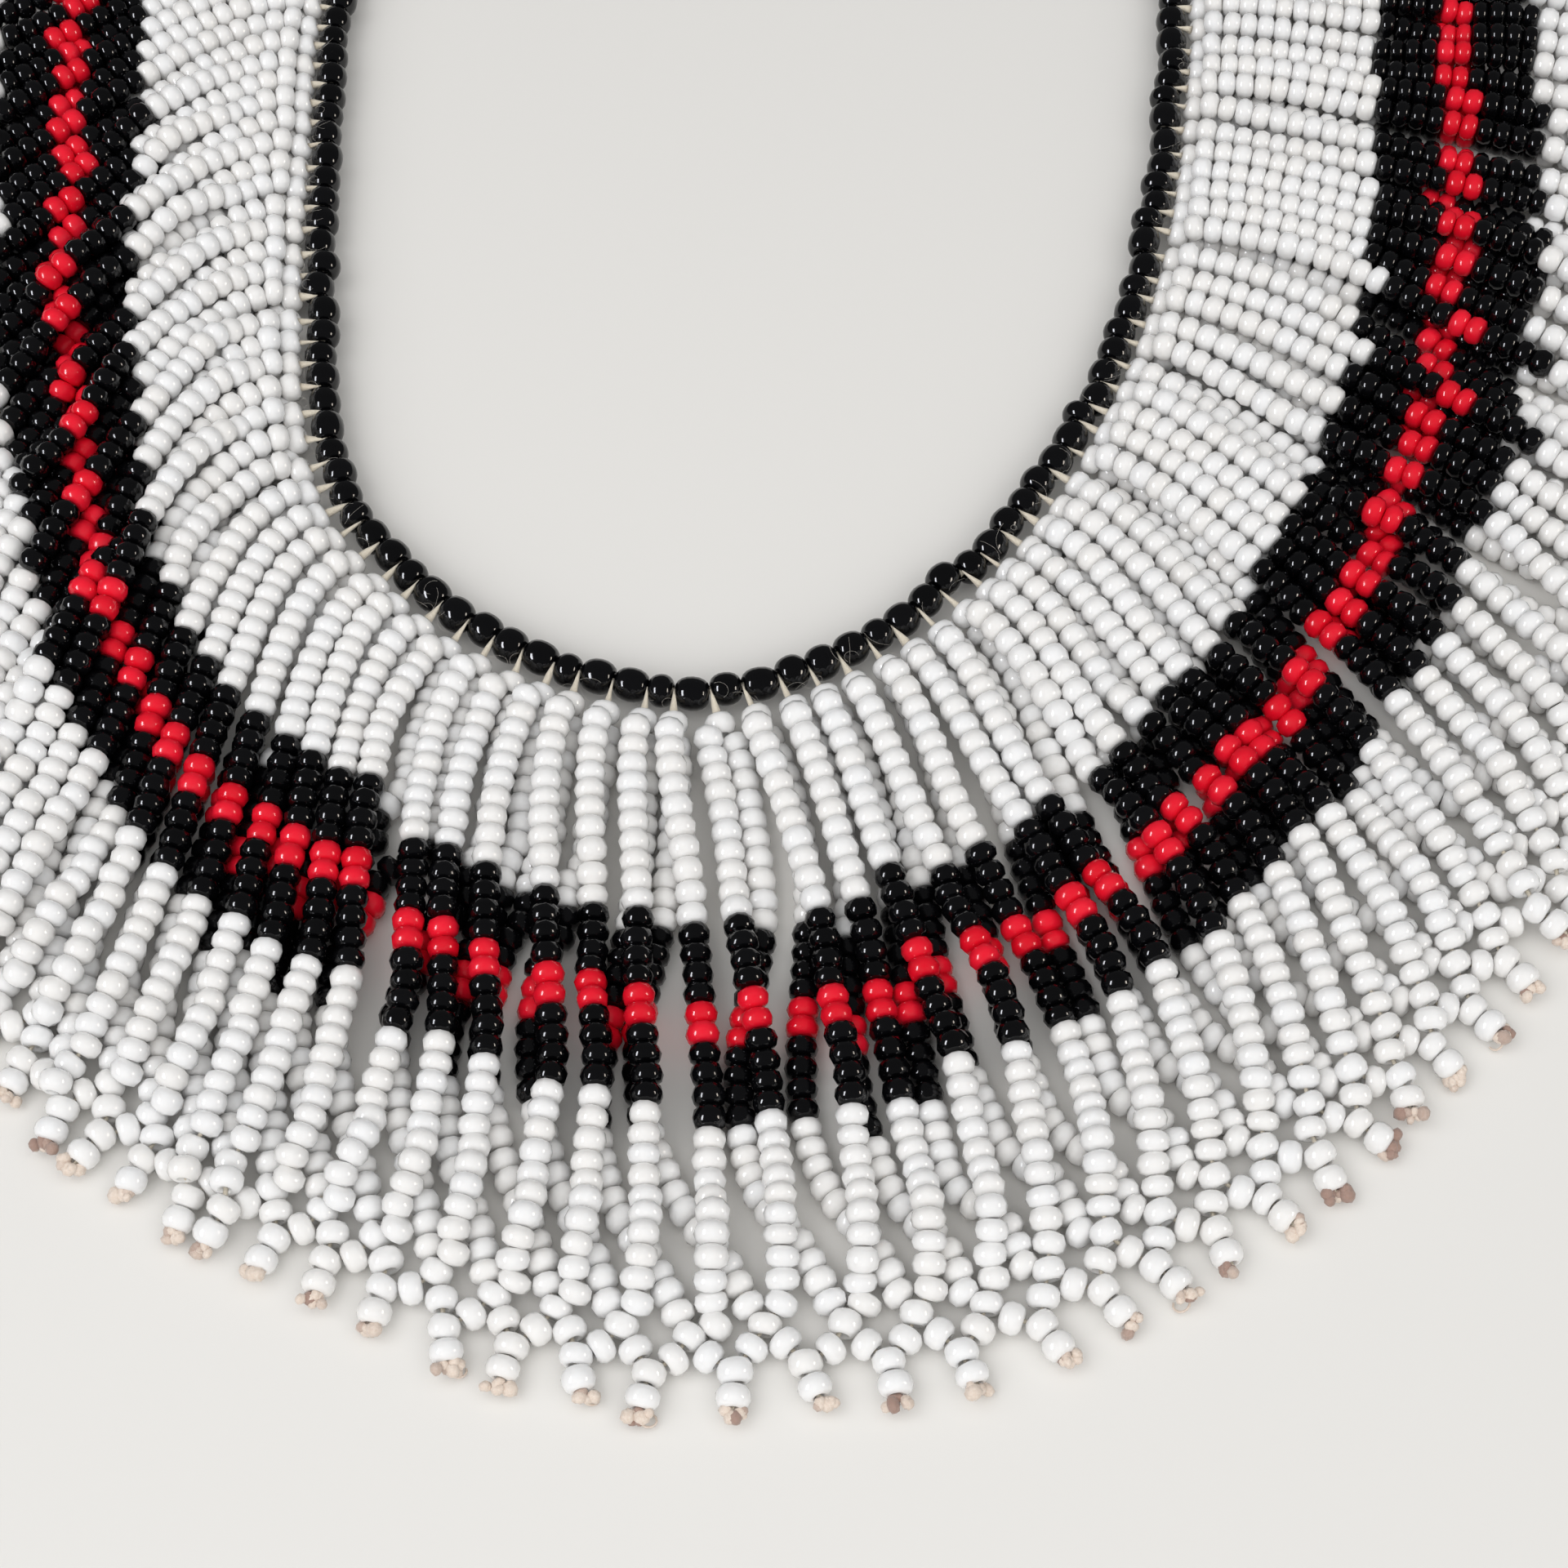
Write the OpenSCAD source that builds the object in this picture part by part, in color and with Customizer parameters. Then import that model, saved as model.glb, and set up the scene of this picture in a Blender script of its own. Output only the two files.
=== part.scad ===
// Beaded collar necklace, laid flat on a surface, in millimetres.
// +X is the wearer's left when worn, +Y runs from the front of the collar to its clasp, +Z is up.
// The surface it lies on is Z = 0 and the origin is the middle of its plan.

/* [Neck string] */
// Width of the neck opening, between the middles of the neck beads
neck_width = 92; // [88:1:97]
// Length of the neck opening from the front to the clasp
neck_length = 141; // [134:1:148]
// Number of strand pairs, one in each gap between two neck beads
pair_count = 119; // [112:1:120]
// Diameter of a neck bead
neck_bead_d = 3.3; // [3:0.1:3.5]
// Height of the neck string's middle above the surface
neck_height = 2.5; // [2.2:0.1:3]
// Clear gap between neighbouring neck beads
neck_bead_gap = 0.3; // [0.26:0.02:0.4]
// Diameter of the hole through a neck bead
neck_hole_d = 1.3; // [1.2:0.05:1.4]
// Diameter of the neck thread
thread_d = 0.7; // [0.5:0.05:0.8]

/* [Strands] */
// Diameter of a seed bead
bead_d = 2.9; // [2.6:0.1:3.1]
// Length that one seed bead takes on its thread
bead_step = 1.95; // [1.8:0.05:2.1]
// Thread that shows between the neck string and the top bead of each strand pair
top_gap = 0.9; // [0.5:0.1:1.4]
// White beads from the neck string to the upper black band, with the shared top bead
inner_white_count = 11; // [8:1:12]
// Black beads in each black band
black_count = 4; // [3:1:5]
// Red beads in the middle line
red_count = 2; // [1:1:3]
// White beads from the lower black band to the net
outer_white_count = 10; // [9:1:12]
// Height of the two layers of strands, one on the other
collar_height = 5.6; // [5:0.1:6.5]
// Depth of the groove between neighbouring strands
groove_depth = 0.9; // [0.4:0.1:1.2]
// Height of the ruffles that the laid strands make
ruffle_height = 0.4; // [0:0.1:0.6]
// Clear gap between neighbouring bands
band_gap = 0.3; // [0.2:0.05:0.5]

/* [Net edge] */
// Length of a gap in the net, up between the two strands of a pair
gap_length = 10; // [6:0.5:12]
// Beads in the little tail under each gap
tail_count = 2; // [1:1:3]
// Length of the knot that closes a tail
knot_length = 0.9; // [0.5:0.1:1.2]

/* [Clasp] */
// Length of the clasp
clasp_length = 8.4; // [7:0.2:10]
// Diameter of the clasp
clasp_d = 4.2; // [3.6:0.1:4.4]

/* [Hidden] */

// Neck line from the clasp down one side, round the front and back up the other side.
// Columns: x, y, the way the strand there lies, in degrees from straight to the front and
// positive towards +X, and the distance from the neck line at which the upper strand of a pair
// sinks beside the lower one. The line is drawn for an opening of drawn_width by drawn_length.
drawn_width = 92;
drawn_length = 141;
neck_rows = [
    [-3.5, 77, -138, 20],
    [-28, 70, -104, 28],
    [-44.5, 53, -74, 46],
    [-48.8, 31, -49, 56],
    [-48.2, 6, -36, 60],
    [-46.8, -17, -24, 60],
    [-43.3, -38, -14, 60],
    [-36, -49.5, -8, 60],
    [-24, -59.5, -1, 55],
    [-8, -64, 8, 47],
    [8, -58, 18, 50],
    [20.5, -45.5, 28, 52],
    [30.5, -28, 41, 50],
    [36.8, -10, 56, 47],
    [40.5, 10, 70, 54],
    [42.6, 32, 82, 50],
    [39, 54, 99, 36],
    [22, 71, 124, 30],
    [-3.5, 77, 148, 32]
];

// Height of the top of the strands as a share of collar_height.
// Columns: distance from the place where the upper strand sinks, in mm, share.
sink_rows = [[-8, 1], [-3, 0.9], [3, 0.68], [8, 0.58]];

row_last = len(neck_rows) - 1;
curve_steps = 16;
bend_length = 8;       // a strand leaves square to the neck string and is half bent to its lay here
bend_power = 3;        // how sharp that bend is
path_step = 1.5;       // spacing of the points worked out along a strand
path_points = 52;
thread_rings = 78;
thread_sides = 8;
ruffle_waves = [14.5, 37];
end_room = 0.6;        // room between the clasp and the first neck bead

// A smooth curve through the rows, closed at the clasp in x and y
function stretched(r) =
    [r[0] * neck_width / drawn_width, r[1] * neck_length / drawn_length, r[2], r[3]];
function before_first() = let (a = neck_rows[0], b = neck_rows[1], z = neck_rows[row_last - 1])
    [z[0], z[1], 2 * a[2] - b[2], a[3]];
function after_last() = let (a = neck_rows[row_last], b = neck_rows[row_last - 1], z = neck_rows[1])
    [z[0], z[1], 2 * a[2] - b[2], a[3]];
function row(i) = stretched(i < 0 ? before_first() : i > row_last ? after_last() : neck_rows[i]);
function blend4(a, b, c, d, t) =
    (2 * b + (c - a) * t + (2 * a - 5 * b + 4 * c - d) * t * t
    + (3 * b - a - 3 * c + d) * t * t * t) / 2;
curve = [
    for (i = [0 : row_last - 1], j = [0 : curve_steps - 1])
        blend4(row(i - 1), row(i), row(i + 1), row(i + 2), j / curve_steps),
    row(row_last)
];
function flat(p) = [p[0], p[1]];
reach = [
    for (i = 0, s = 0; i < len(curve);
         s = s + (i + 1 < len(curve) ? norm(flat(curve[i + 1]) - flat(curve[i])) : 0), i = i + 1) s
];
loop_length = reach[len(reach) - 1];
x_along = [for (i = [0 : len(curve) - 1]) [reach[i], curve[i][0]]];
y_along = [for (i = [0 : len(curve) - 1]) [reach[i], curve[i][1]]];
lay_along = [for (i = [0 : len(curve) - 1]) [reach[i], curve[i][2]]];
sink_along = [for (i = [0 : len(curve) - 1]) [reach[i], curve[i][3]]];

// Place on the neck line, and the direction square to it and outwards, as an angle like the lay
function neck_at(s) = [lookup(s, x_along), lookup(s, y_along)];
function tangent_at(s) = let (d = neck_at(s + 0.6) - neck_at(s - 0.6)) d / norm(d);
function near_angle(a, b) = a - b > 180 ? a - 360 : a - b < -180 ? a + 360 : a;
function square_out(s) = let (t = tangent_at(s)) atan2(t[1], t[0]);

// Points along a strand that leaves the neck line at s, from its middle outwards
function heading(s, u) = let (lay = lookup(s, lay_along), out = near_angle(square_out(s), lay))
    lay + (out - lay) / (1 + pow(u / bend_length, bend_power));
function strand(s) = [
    for (i = 0, p = neck_at(s); i < path_points;
         p = p + path_step * [sin(heading(s, (i + 0.5) * path_step)),
                              -cos(heading(s, (i + 0.5) * path_step))], i = i + 1) p
];
function along(path, u) = let (i = floor(u / path_step), t = u / path_step - i)
    path[i] + (path[i + 1] - path[i]) * t;

neck_bead_count = pair_count + 1;
first_s = clasp_length / 2 + end_room;
pitch = (loop_length - 2 * first_s) / neck_bead_count;
neck_bead_length = pitch - neck_bead_gap;

// A strand pair leaves each gap between two neck beads and makes one rib, and half way to the
// next pair is a groove. Even stations are grooves, odd ones ribs.
stations = 2 * pair_count;
function station_s(j) = first_s + (j + 1) * pitch / 2;
strand_paths = [for (j = [0 : stations]) strand(station_s(j))];

// Distances from the neck line at which the colours change
bands_start = neck_bead_d / 2 + band_gap;
inner_white_end = neck_bead_d / 2 + top_gap + inner_white_count * bead_step;
upper_black_end = inner_white_end + black_count * bead_step;
red_end = upper_black_end + red_count * bead_step;
lower_black_end = red_end + black_count * bead_step;
outer_white_end = lower_black_end + outer_white_count * bead_step;
net_start = outer_white_end - gap_length - bead_step / 2;
link_middle = outer_white_end + bead_step / 2;
tail_start = link_middle + 0.9 * bead_step;
tail_end = tail_start + tail_count * bead_step;

function ruffle(s) =
    ruffle_height * (sin(360 * s / ruffle_waves[0]) + sin(360 * s / ruffle_waves[1])) / 2;
function top_z(j, u) = let (s = station_s(j))
    lookup(u - lookup(s, sink_along), sink_rows) * collar_height + ruffle(s)
    - (j % 2 == 0 ? groove_depth : 0);

// A band of strands between two distances from the neck line. Its section is the foot and the
// top at each distance in us, and it is swept through every station.
module band(us) {
    n = len(us) + 2;
    points = [
        for (j = [0 : stations])
            for (i = [0 : n - 1])
                let (u = i == 0 ? us[0] : i == n - 1 ? us[len(us) - 1] : us[i - 1],
                     p = along(strand_paths[j], u))
                [p[0], p[1], i == 0 || i == n - 1 ? 0 : top_z(j, u)]
    ];
    sides = [
        for (j = [0 : stations - 1], i = [0 : n - 1])
            let (a = j * n + i, b = j * n + (i + 1) % n, c = a + n, d = b + n)
            each [[a, c, b], [b, c, d]]
    ];
    ends = [
        for (i = [1 : n - 2], end = [0, stations * n])
            end == 0 ? [0, i, i + 1] : [end, end + i + 1, end + i]
    ];
    polyhedron(points = points, faces = concat(sides, ends), convexity = 10);
}

// Places for the net: links stand at the grooves, gaps and tails at the ribs
function link_at(k) = along(strand_paths[2 * k], link_middle);
function rib_at(k, u) = along(strand_paths[2 * k + 1], u);
function rib_side(k) = let (d = rib_at(k, tail_end) - rib_at(k, net_start)) [-d[1], d[0]] / norm(d);
function toward(a, b, dist) = a + (b - a) * dist / norm(b - a);

function gap_outline(k) = [
    rib_at(k, outer_white_end - gap_length),
    toward(link_at(k), link_at(k + 1), bead_d / 2),
    rib_at(k, link_middle + 0.85 * bead_step),
    toward(link_at(k + 1), link_at(k), bead_d / 2)
];

function tail_outline(k) = let (side = rib_side(k) * bead_d / 2) [
    rib_at(k, tail_start + 0.5 * bead_step) - side,
    rib_at(k, tail_end - 0.2 * bead_step) - side,
    rib_at(k, tail_end + knot_length) - side * 0.5,
    rib_at(k, tail_end + knot_length) + side * 0.5,
    rib_at(k, tail_end - 0.2 * bead_step) + side,
    rib_at(k, tail_start + 0.5 * bead_step) + side
];

module neck_thread() {
    in_clasp = 1.2;
    ring_step = (loop_length - clasp_length + 2 * in_clasp) / (thread_rings - 1);
    route = [for (i = [0 : thread_rings - 1]) clasp_length / 2 - in_clasp + i * ring_step];
    points = [
        for (s = route, i = [0 : thread_sides - 1])
            let (p = neck_at(s), t = tangent_at(s), a = 360 * i / thread_sides)
            [p[0] + thread_d / 2 * cos(a) * t[1], p[1] - thread_d / 2 * cos(a) * t[0],
             neck_height + thread_d / 2 * sin(a)]
    ];
    sides = [
        for (j = [0 : thread_rings - 2], i = [0 : thread_sides - 1])
            let (a = j * thread_sides + i, b = j * thread_sides + (i + 1) % thread_sides,
                 c = a + thread_sides, d = b + thread_sides)
            each [[a, b, c], [b, d, c]]
    ];
    ends = [
        [for (i = [thread_sides - 1 : -1 : 0]) i],
        [for (i = [0 : thread_sides - 1]) (thread_rings - 1) * thread_sides + i]
    ];
    color("wheat")
    polyhedron(points = points, faces = concat(sides, ends), convexity = 10);
}

module neck_bead() {
    rotate_extrude($fn = 32)
    intersection() {
        circle(d = neck_bead_d, $fn = 48);
        translate([neck_hole_d / 2, -neck_bead_length / 2])
        square([neck_bead_d, neck_bead_length]);
    }
}

module neck_beads() {
    color("#101012")
    for (k = [0 : neck_bead_count - 1]) {
        s = first_s + (k + 0.5) * pitch;
        p = neck_at(s);
        translate([p[0], p[1], neck_height])
        rotate([0, 90, square_out(s)])
        neck_bead();
    }
}

module inner_white_band() {
    color("ivory")
    band([bands_start, inner_white_end / 2, inner_white_end - band_gap / 2]);
}

module upper_black_band() {
    color("#18181a")
    band([inner_white_end + band_gap / 2, upper_black_end - band_gap / 2]);
}

module red_band() {
    color("#d00a1c")
    band([upper_black_end + band_gap / 2, red_end - band_gap / 2]);
}

module lower_black_band() {
    color("#18181a")
    band([red_end + band_gap / 2, lower_black_end - band_gap / 2]);
}

module outer_white_band() {
    color("ivory")
    band([lower_black_end + band_gap / 2, net_start - band_gap / 2]);
}

// The last beads of the strands, the links that join them in pairs and the short tails, as one
// net as thick as a bead, cut through in a gap under every strand pair
module net_edge() {
    inner_line = [for (j = [0 : stations]) along(strand_paths[j], net_start + band_gap / 2)];
    outer_line = [
        for (k = [pair_count : -1 : 0]) each concat(
            [along(strand_paths[2 * k], link_middle + 0.75 * bead_step)],
            k == 0 ? [] : let (tail = tail_outline(k - 1)) [for (i = [5 : -1 : 0]) tail[i]])
    ];
    gaps = [for (k = [0 : pair_count - 1]) gap_outline(k)];
    rim = concat(inner_line, outer_line);
    points = concat(rim, [for (g = gaps) each g]);
    loops = concat([[for (i = [0 : len(rim) - 1]) i]],
        [for (k = [0 : pair_count - 1]) [for (i = [0 : 3]) len(rim) + 4 * k + i]]);
    color("ivory")
    linear_extrude(bead_d)
    polygon(points = points, paths = loops, convexity = 10);
}

module clasp() {
    a = neck_at(clasp_length / 2);
    b = neck_at(loop_length - clasp_length / 2);
    socket_d = thread_d + 0.7;
    socket_depth = 2;
    color("darkgoldenrod")
    translate([(a[0] + b[0]) / 2, (a[1] + b[1]) / 2, neck_height])
    rotate([0, 90, atan2(a[1] - b[1], a[0] - b[0])])
    difference() {
        intersection() {
            cylinder(d = clasp_d, h = clasp_length, center = true, $fn = 48);
            sphere(r = clasp_length * 0.54, $fn = 64);
        }
        for (side = [-1, 1])
            translate([0, 0, side * clasp_length / 2])
            cylinder(d = socket_d, h = 2 * socket_depth, center = true, $fn = 32);
    }
}

neck_thread();
neck_beads();
inner_white_band();
upper_black_band();
red_band();
lower_black_band();
outer_white_band();
net_edge();
clasp();
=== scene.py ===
import math

import bmesh
import bpy
import numpy as np
from mathutils import Matrix, Vector


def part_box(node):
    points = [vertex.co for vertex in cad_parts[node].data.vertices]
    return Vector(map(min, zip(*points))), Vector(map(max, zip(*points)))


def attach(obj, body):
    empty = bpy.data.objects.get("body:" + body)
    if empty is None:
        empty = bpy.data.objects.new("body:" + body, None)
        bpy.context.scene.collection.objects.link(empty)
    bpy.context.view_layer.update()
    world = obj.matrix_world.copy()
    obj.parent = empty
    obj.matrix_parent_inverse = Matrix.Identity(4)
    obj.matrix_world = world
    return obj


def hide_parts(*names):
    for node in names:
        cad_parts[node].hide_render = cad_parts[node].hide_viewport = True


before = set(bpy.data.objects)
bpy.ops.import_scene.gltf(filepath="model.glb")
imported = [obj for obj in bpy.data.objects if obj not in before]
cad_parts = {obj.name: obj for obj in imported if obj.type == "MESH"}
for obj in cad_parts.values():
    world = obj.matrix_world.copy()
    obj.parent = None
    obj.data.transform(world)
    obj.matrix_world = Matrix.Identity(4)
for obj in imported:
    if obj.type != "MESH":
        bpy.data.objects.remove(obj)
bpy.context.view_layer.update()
mm = 0.001
print("frame loaded:", len(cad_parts), "nodes")


# Small helpers for colours, nodes and objects

def toLinear(hexColour):
    channels = [int(hexColour[i:i + 2], 16) / 255 for i in (1, 3, 5)]
    linear = [c / 12.92 if c <= 0.04045 else ((c + 0.055) / 1.055) ** 2.4 for c in channels]
    return (*linear, 1.0)


def addNode(tree, kind, inputs={}, **settings):
    node = tree.nodes.new(kind)
    for name, value in settings.items():
        setattr(node, name, value)
    for name, value in inputs.items():
        if isinstance(value, bpy.types.NodeSocket):
            tree.links.new(value, node.inputs[name])
        else:
            node.inputs[name].default_value = value
    return node


def newMaterial(name):
    material = bpy.data.materials.new(name)
    material.use_nodes = True
    tree = material.node_tree
    tree.nodes.clear()
    return material, tree


def newObject(name, data):
    thing = bpy.data.objects.new(name, data)
    bpy.context.collection.objects.link(thing)
    return thing


# Camera, as the photograph was taken: over the front of the collar, looking steeply down
cameraView = {
    "place": (0.0, -0.216, 0.2169),
    "degreesBelowLevel": 56.5,
    "lens": 65.6,           # mm, for a square picture on Blender's usual sensor, 36 mm wide
}


def addCamera():
    data = bpy.data.cameras.new("camera")
    data.lens = cameraView["lens"]
    data.clip_start = 0.01
    camera = newObject("camera", data)
    camera.location = cameraView["place"]
    camera.rotation_euler = (math.radians(90 - cameraView["degreesBelowLevel"]), 0, 0)
    bpy.context.scene.camera = camera


addCamera()

# The collar's plan, in millimetres. What the CAD part has too repeats its named values.
collar = {
    "pairs": 119,           # strand pairs, one in each gap between two neck beads
    "strandBeads": 30,      # beads on a strand after its top bead
    "insideWhites": 10,     # of them, from the top bead to the coloured ones
    "colouredBeads": 10,
    "beadStep": 1.95,
    "topStep": 2.15,        # from a top bead to the first bead of each of its two strands
    "linkStep": 2.25,       # from the last bead of a strand to its link bead
    "netStep": 2.35,        # from bead to bead where the thread turns corners in the net
    "tailStep": 2.05,
    "beadDiameter": 2.9,
    "claspLength": 8.4,
    "endRoom": 0.6,
    "topGap": 0.9,          # thread that shows between the neck string and the top beads
    "bendLength": 8.0,      # a strand leaves square to the neck string; here it is half bent to its lay
    "bendPower": 3.0,
    "pathStep": 0.5,        # between the points of a planned strand
    "pathReach": 75,
    "seed": 11,
}
neckLow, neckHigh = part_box("neck_beads")
neckHeight = (neckLow.z + neckHigh.z) / 2 / mm
neckRadius = (neckHigh.z - neckLow.z) / 2 / mm
rng = np.random.default_rng(collar["seed"])

# Neck line from the clasp down one side, round the front and back up the other side.
# Columns: x, y, and the way the strand there lies, in degrees from straight to the front.
neckRows = np.array([
    (-3.5, 77, -138),
    (-28, 70, -104),
    (-44.5, 53, -74),
    (-48.8, 31, -49),
    (-48.2, 6, -36),
    (-46.8, -17, -24),
    (-43.3, -38, -14),
    (-36, -49.5, -8),
    (-24, -59.5, -1),
    (-8, -64, 8),
    (8, -58, 18),
    (20.5, -45.5, 28),
    (30.5, -28, 41),
    (36.8, -10, 56),
    (40.5, 10, 70),
    (42.6, 32, 82),
    (39, 54, 99),
    (22, 71, 124),
    (-3.5, 77, 148),
], float)


def drawNeckLine(stepsPerRow=16):
    before = neckRows[-2].copy()
    before[2] = 2 * neckRows[0, 2] - neckRows[1, 2]
    after = neckRows[1].copy()
    after[2] = 2 * neckRows[-1, 2] - neckRows[-2, 2]
    rows = np.vstack([before, neckRows, after])
    points = []
    for a, b, c, d in zip(rows, rows[1:], rows[2:], rows[3:]):
        for t in np.arange(stepsPerRow) / stepsPerRow:
            points.append((2 * b + (c - a) * t + (2 * a - 5 * b + 4 * c - d) * t ** 2
                           + (3 * b - a - 3 * c + d) * t ** 3) / 2)
    points = np.array(points + [neckRows[-1]])
    steps = np.linalg.norm(np.diff(points[:, :2], axis=0), axis=1)
    return points, np.concatenate([[0], np.cumsum(steps)])


neckLine, neckReach = drawNeckLine()


def neckAt(s):
    return np.stack([np.interp(s, neckReach, neckLine[:, i]) for i in (0, 1)], -1)


def neckTangent(s, reach=0.6):
    d = neckAt(s + reach) - neckAt(s - reach)
    return d / np.linalg.norm(d, axis=-1, keepdims=True)


def strandPaths(s):
    # Points along the strands that leave the neck line at s, in plan
    step = collar["pathStep"]
    lay = np.interp(s, neckReach, neckLine[:, 2])
    tangent = neckTangent(s)
    out = np.degrees(np.arctan2(tangent[:, 1], tangent[:, 0]))
    out = lay + (out - lay + 180) % 360 - 180
    place = neckAt(s)
    path = [place]
    for u in np.arange(step / 2, collar["pathReach"], step):
        bent = 1 / (1 + (u / collar["bendLength"]) ** collar["bendPower"])
        heading = np.radians(lay + (out - lay) * bent)
        place = place + step * np.stack([np.sin(heading), -np.cos(heading)], -1)
        path.append(place)
    return np.stack(path, 1)


def alongPaths(paths, u):
    # u is one row of distances for all the paths or a row for each
    step = collar["pathStep"]
    i = (u / step).astype(int)
    t = (u / step - i)[..., None]
    which = np.arange(len(paths))[:, None]
    return paths[which, i] * (1 - t) + paths[which, i + 1] * t


# Irregular neck beads: their lengths vary, so the strands between them aren't evenly spaced
neckString = {
    "lengthSpread": 0.12,
    "shortest": 0.78,       # of the usual length
    "longest": 1.22,
    "evenOver": 9,          # beads over which short and long ones even out
    "zigzag": 0.2,          # mm that a bead stands off the line
    "lift": 0.1,            # mm that a bead stands higher or lower
    "acrossSpread": 0.03,
    "narrowest": 0.93,      # of the usual width
    "widest": 1.05,
    "room": 0.12,           # mm from bead to bead
}
pairs = collar["pairs"]
strandBeads = collar["strandBeads"]
beadStep = collar["beadStep"]
netStep = collar["netStep"]
restHeight = collar["beadDiameter"] / 2
firstS = collar["claspLength"] / 2 + collar["endRoom"]
pitch = (neckReach[-1] - 2 * firstS) / (pairs + 1)
unevenness = rng.normal(0, neckString["lengthSpread"], pairs + 1)
evenOver = neckString["evenOver"]
unevenness -= np.convolve(unevenness, np.ones(evenOver) / evenOver, "same")
neckLengths = pitch * np.clip(1 + unevenness, neckString["shortest"], neckString["longest"])
neckLengths *= pitch * (pairs + 1) / neckLengths.sum()
neckEnds = firstS + np.concatenate([[0], np.cumsum(neckLengths)])
neckMiddles = (neckEnds[:-1] + neckEnds[1:]) / 2
anchorS = neckEnds[1:-1]
evenS = firstS + pitch * np.arange(1, pairs + 1)
linkS = firstS + pitch * (np.arange(pairs + 1) + 0.5)


def wander(count, wave):
    # A smooth random line, about one wave every so many strands
    turning = rng.normal(size=int(count / wave) + 4)
    x = np.linspace(1, len(turning) - 3, count)
    i = x.astype(int)
    t = x - i
    t = t * t * (3 - 2 * t)
    return turning[i] * (1 - t) + turning[i + 1] * t


def bunches(count, fewest=3, most=7):
    # How far each strand stands from the middle of its bunch, in strands
    pull = np.zeros(count)
    k = 0
    while k < count:
        end = min(count, k + int(rng.integers(fewest, most + 1)))
        pull[k:end] = (k + end - 1) / 2 - np.arange(k, end)
        k = end
    return pull


# Every bead has a number. A block holds the numbers of one kind, shaped by strand and place.
beadTotal = 0


def numbered(*shape):
    global beadTotal
    numbers = beadTotal + np.arange(int(np.prod(shape))).reshape(shape)
    beadTotal += numbers.size
    return numbers


topBeads = numbered(pairs)
frontBeads = numbered(pairs, strandBeads)
backBeads = numbered(pairs, strandBeads)
linkBeads = numbered(pairs + 1)
rightSlants = numbered(pairs)       # from a link to the tail on its right
leftSlants = numbered(pairs)        # from a link to the tail on its left
upperTails = numbered(pairs)
lowerTails = numbered(pairs)
netBeads = np.concatenate([linkBeads, rightSlants, leftSlants, upperTails, lowerTails])
looseTotal = beadTotal
neckBeads = numbered(pairs + 1)


# What changes from place to place round the collar. Columns: strand pair, mm of thread that show
# above its top bead, then the length of the white beads inside, the coloured beads and the white
# beads outside, against their usual length.
roundCollar = np.array([
    (0, 0.5, 1.02, 1.02, 1.02),
    (11, 0.2, 1.02, 1.02, 1.02),
    (19, -0.1, 0.98, 0.96, 1.03),
    (30, -0.1, 1.0, 1.02, 1.02),
    (36, 0.05, 0.99, 1.0, 1.02),
    (41, 0.4, 1.03, 0.97, 1.03),
    (45, 0.7, 1.0, 1.0, 1.0),
    (51, 0.9, 0.9, 1.0, 0.94),
    (56, 0.9, 1.02, 0.97, 0.95),
    (61, 0.9, 1.08, 0.97, 0.93),
    (72, 0.6, 1.05, 0.95, 0.89),
    (78, 0.3, 1.02, 0.94, 0.96),
    (83, 0.1, 0.97, 0.93, 1.02),
    (90, 0.05, 0.96, 0.9, 1.04),
    (97, 0.05, 0.94, 0.86, 1.06),
    (107, 0.4, 1.02, 1.02, 1.02),
    (118, 0.5, 1.02, 1.02, 1.02),
])
threadShown, insideWhite, coloured, outsideWhite = [
    np.interp(np.arange(pairs), roundCollar[:, 0], column)[:, None]
    for column in roundCollar[:, 1:].T]

# Uneven beads: spread, least and most, against the usual size
uneven = {
    "length": (0.05, 0.88, 1.13),
    "strand": (0.012, 0.97, 1.03),      # lengths on one strand together
    "across": (0.022, 0.94, 1.05),
    "oval": (0.985, 1.015),             # one way across against the other
    "ends": (0.99, 1.03),
}


def unevenBy(name, shape):
    spread, least, most = uneven[name]
    return np.clip(rng.normal(1.0, spread, shape), least, most)


beadLengths = unevenBy("length", beadTotal)
beadLengths[topBeads] *= insideWhite[:, 0]
firstColoured = collar["insideWhites"]
firstOutside = firstColoured + collar["colouredBeads"]
for strand in (frontBeads, backBeads):
    scale = unevenBy("strand", (pairs, 1))
    beadLengths[strand[:, :firstColoured]] *= scale * insideWhite
    beadLengths[strand[:, firstColoured:firstOutside]] *= scale * coloured
    beadLengths[strand[:, firstOutside:]] *= scale * outsideWhite


# How each layer of strands lies beside the straight way out, in strands. The rows give the share
# of the way from neck to link, and the shift there; the rest is uneven by chance.
strandLay = {
    "front": {"rows": ((0, 0), (0.3, 0), (0.45, 0.12), (0.64, 0.28), (0.92, -0.14),
                       (0.968, -0.26), (1, -0.45)),
              "bunch": 0.1, "slow": 0.2, "quick": 0.12},
    "back": {"rows": ((0, 0), (0.12, 0.3), (0.3, 0.05), (0.5, -0.4), (0.67, -0.6), (0.8, -0.5),
                      (0.83, -0.35), (0.87, 0.05), (0.92, 0.2), (0.968, 0.25), (1, 0.45)),
             "bunch": 0.1, "slow": 0.3, "quick": 0.18},
}


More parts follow.
